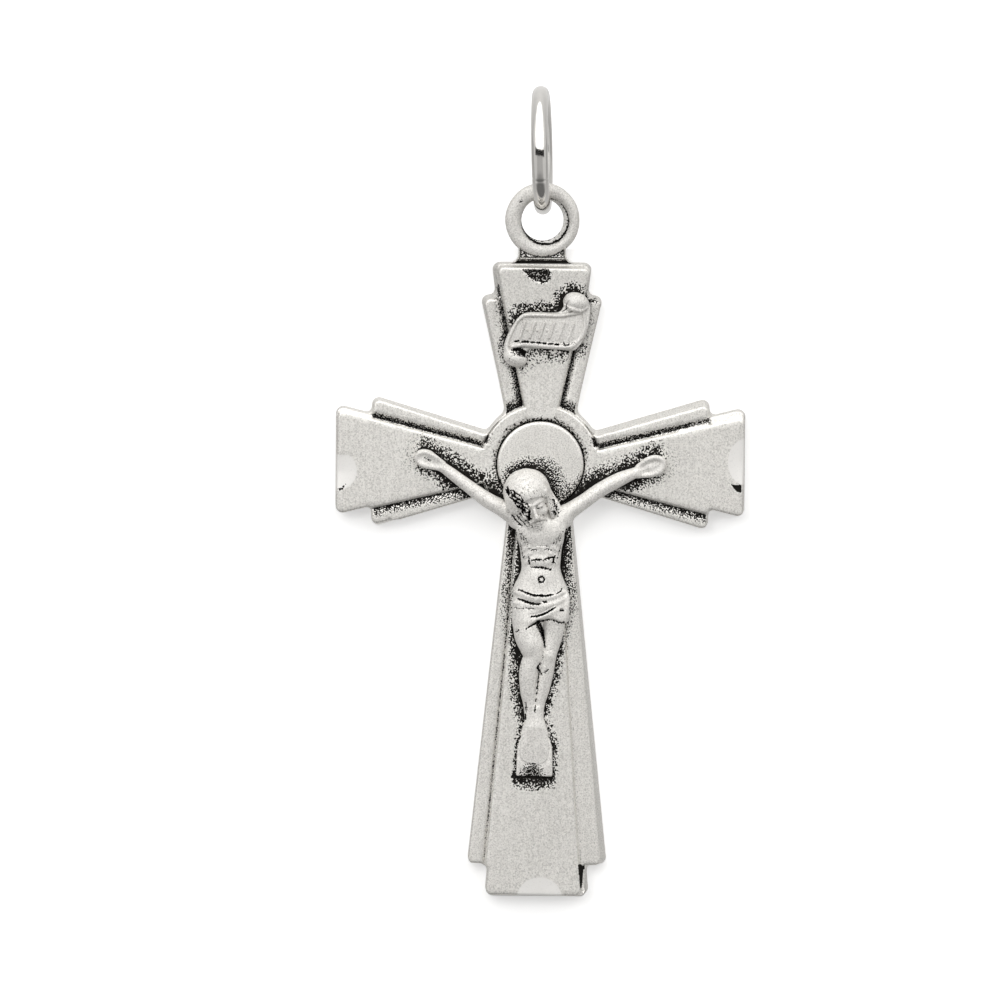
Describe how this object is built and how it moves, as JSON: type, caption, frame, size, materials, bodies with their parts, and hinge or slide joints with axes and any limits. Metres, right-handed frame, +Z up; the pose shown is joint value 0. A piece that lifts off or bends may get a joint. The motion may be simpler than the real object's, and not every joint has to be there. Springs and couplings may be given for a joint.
{
  "type": "crucifix pendant",
  "caption": "Layered flared crucifix pendant with a hub disc, an applied figure and scroll, a soldered hanging loop and a free jump ring.",
  "frame": {"origin": "centre of the hub ring, on the flat back face", "axes": "+Z up the top arm towards the jump ring, +Y out of the flat back, the figure faces -Y, +X to the right seen from the front"},
  "size_m": [0.0208, 0.0066, 0.0415],
  "materials": {
    "satin_silver": "fine sand-blasted satin silver with black oxide left in the grooves",
    "cast_silver": "satin cast silver, rubbed bright on high spots, black oxide in the hollows",
    "bright_silver": "polished silver wire"
  },
  "bodies": {
    "cross": {"base_cross": "satin_silver", "upper_cross": "satin_silver", "halo_disc": "satin_silver", "title_scroll": "cast_silver", "corpus": "cast_silver", "foot_rest": "cast_silver", "loop_neck": "satin_silver", "hanging_loop": "cast_silver"},
    "ring": {"jump_ring": "bright_silver"}
  },
  "joints": [
    {"name": "ring_swing", "type": "hinge", "parent": "cross", "child": "ring", "pos_m": [0, -0.0007, 0.01397], "axis": [0.9988, -0.0401, 0.0296], "range_deg": [-88, 88]}
  ]
}
